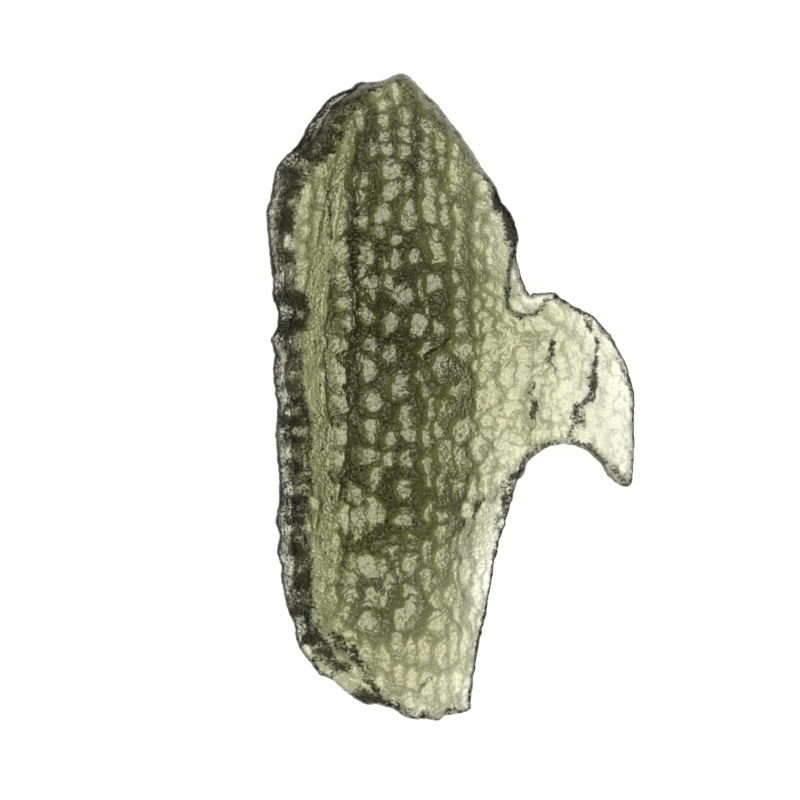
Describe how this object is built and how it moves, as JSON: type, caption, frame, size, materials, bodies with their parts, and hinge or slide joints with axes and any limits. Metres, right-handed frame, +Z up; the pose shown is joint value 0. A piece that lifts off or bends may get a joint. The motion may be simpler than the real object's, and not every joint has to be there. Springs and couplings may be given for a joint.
{
  "type": "moldavite",
  "caption": "Flat, sculptured piece of natural green glass with a thick fluted left side, a thin right side and a flake-like hook; lies on a small flat spot.",
  "frame": {"origin": "on the surface the stone lies on, under the middle of its box", "axes": "+X to the side of the hook, +Y along the length towards the narrow end above the hook, +Z up, out of the sculptured upper side"},
  "size_m": [0.026, 0.0458, 0.0077],
  "materials": {
    "moldavite_glass": "natural, cupped and finely pitted glass with smooth olive ridges"
  },
  "bodies": {
    "root": {"moldavite": "moldavite_glass"}
  },
  "joints": []
}
